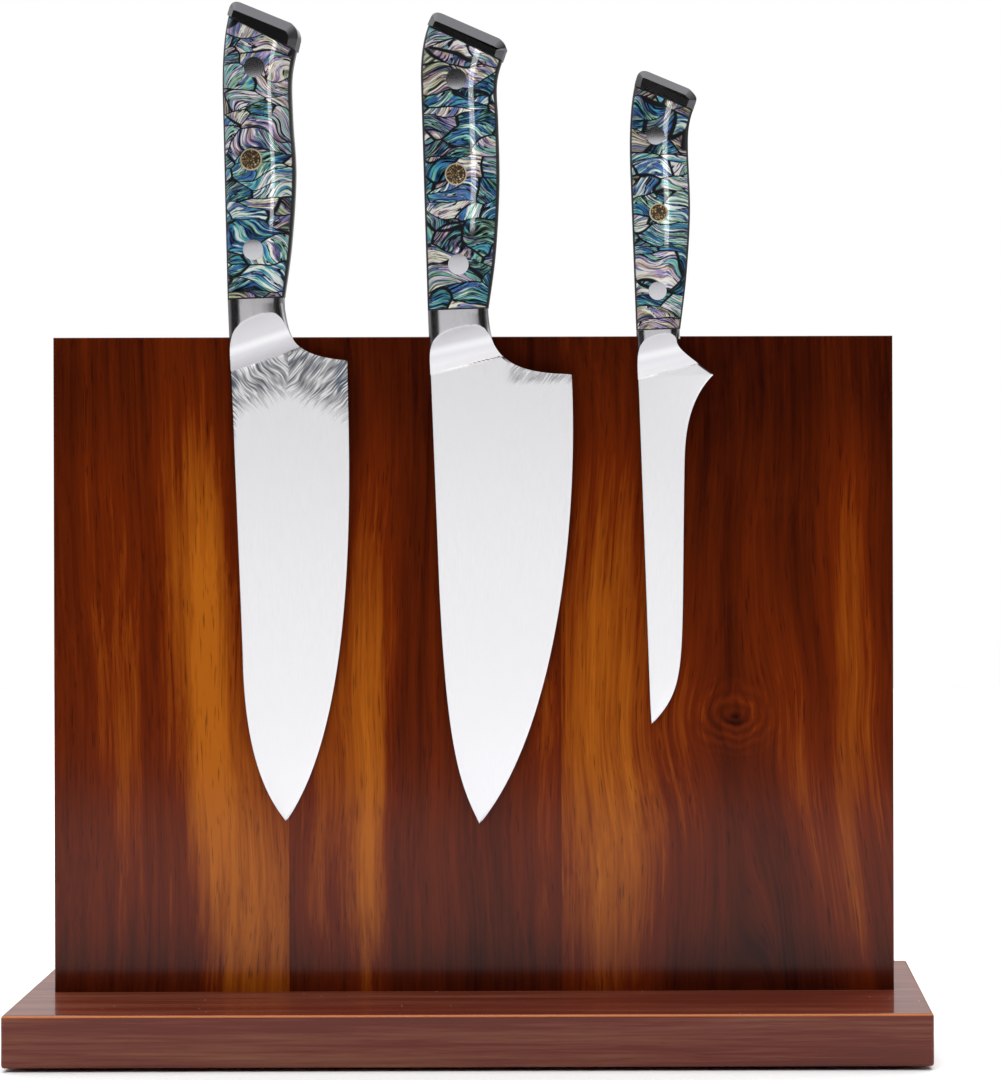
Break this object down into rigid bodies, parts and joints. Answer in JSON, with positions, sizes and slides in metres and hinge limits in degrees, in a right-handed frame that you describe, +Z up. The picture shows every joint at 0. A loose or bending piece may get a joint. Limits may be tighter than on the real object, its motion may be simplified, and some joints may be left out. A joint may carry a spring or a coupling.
{
  "type": "magnetic knife block with knives",
  "caption": "Upright wooden magnetic board on a flat base, holding chef's knives and a boning knife with shell-pattern handles by their blades.",
  "frame": {"origin": "middle of the base's footprint, on the surface that the feet stand on", "axes": "+Z up, the knives and the front of the board face -Y, +X to the right as seen from the front"},
  "size_m": [0.368, 0.12, 0.4276],
  "materials": {
    "front_wood": "high-gloss lacquered acacia staves, dark red-brown to golden orange",
    "back_wood": "high-gloss lacquered acacia staves, dark red-brown",
    "base_wood": "gloss lacquered red-brown wood with the grain along its length",
    "blade_steel": "polished steel with a fine satin grain and a faint etched pattern",
    "polished_steel": "polished stainless steel",
    "plain_steel": "plain zinc-plated steel",
    "shell_resin": "shell mosaic in blue, green, teal and pink under clear polished resin",
    "brass": "polished brass",
    "pin_filler": "dark resin with fine brass pieces",
    "magnet": "grey ferrite",
    "rubber": "matt black rubber"
  },
  "bodies": {
    "block": {"base_plate": "base_wood", "foot_1": "rubber", "foot_2": "rubber", "foot_3": "rubber", "foot_4": "rubber", "base_screw_1": "plain_steel", "base_screw_2": "plain_steel", "base_screw_3": "plain_steel", "base_screw_4": "plain_steel", "front_stave_1": "front_wood", "front_stave_2": "front_wood", "front_stave_3": "front_wood", "back_stave_1": "back_wood", "back_stave_2": "back_wood", "back_stave_3": "back_wood", "bar_magnet_1": "magnet", "bar_magnet_2": "magnet", "bar_magnet_3": "magnet", "bar_magnet_4": "magnet", "bar_magnet_5": "magnet", "bar_magnet_6": "magnet", "bar_magnet_7": "magnet", "bar_magnet_8": "magnet", "bar_magnet_9": "magnet", "bar_magnet_10": "magnet", "bar_magnet_11": "magnet", "bar_magnet_12": "magnet", "bar_magnet_13": "magnet", "bar_magnet_14": "magnet", "keeper_strip_1": "plain_steel", "keeper_strip_2": "plain_steel"},
    "chef_knife": {"chef_knife_blade": "blade_steel", "chef_knife_front_scale": "shell_resin", "chef_knife_back_scale": "shell_resin", "chef_knife_upper_rivet": "polished_steel", "chef_knife_lower_rivet": "polished_steel", "chef_knife_pin_tube": "brass", "chef_knife_pin_core": "pin_filler", "chef_knife_butt_cap": "polished_steel"},
    "wide_chef_knife": {"wide_chef_knife_blade": "blade_steel", "wide_chef_knife_front_scale": "shell_resin", "wide_chef_knife_back_scale": "shell_resin", "wide_chef_knife_upper_rivet": "polished_steel", "wide_chef_knife_lower_rivet": "polished_steel", "wide_chef_knife_pin_tube": "brass", "wide_chef_knife_pin_core": "pin_filler", "wide_chef_knife_butt_cap": "polished_steel"},
    "boning_knife": {"boning_knife_blade": "blade_steel", "boning_knife_front_scale": "shell_resin", "boning_knife_back_scale": "shell_resin", "boning_knife_upper_rivet": "polished_steel", "boning_knife_lower_rivet": "polished_steel", "boning_knife_pin_tube": "brass", "boning_knife_pin_core": "pin_filler", "boning_knife_butt_cap": "polished_steel"}
  },
  "joints": [
    {"name": "chef_knife_pull", "type": "slide", "parent": "block", "child": "chef_knife", "axis": [0, -1, 0], "range_m": [0, 0.12]},
    {"name": "wide_chef_knife_pull", "type": "slide", "parent": "block", "child": "wide_chef_knife", "axis": [0, -1, 0], "range_m": [0, 0.12]},
    {"name": "boning_knife_pull", "type": "slide", "parent": "block", "child": "boning_knife", "axis": [0, -1, 0], "range_m": [0, 0.12]}
  ]
}
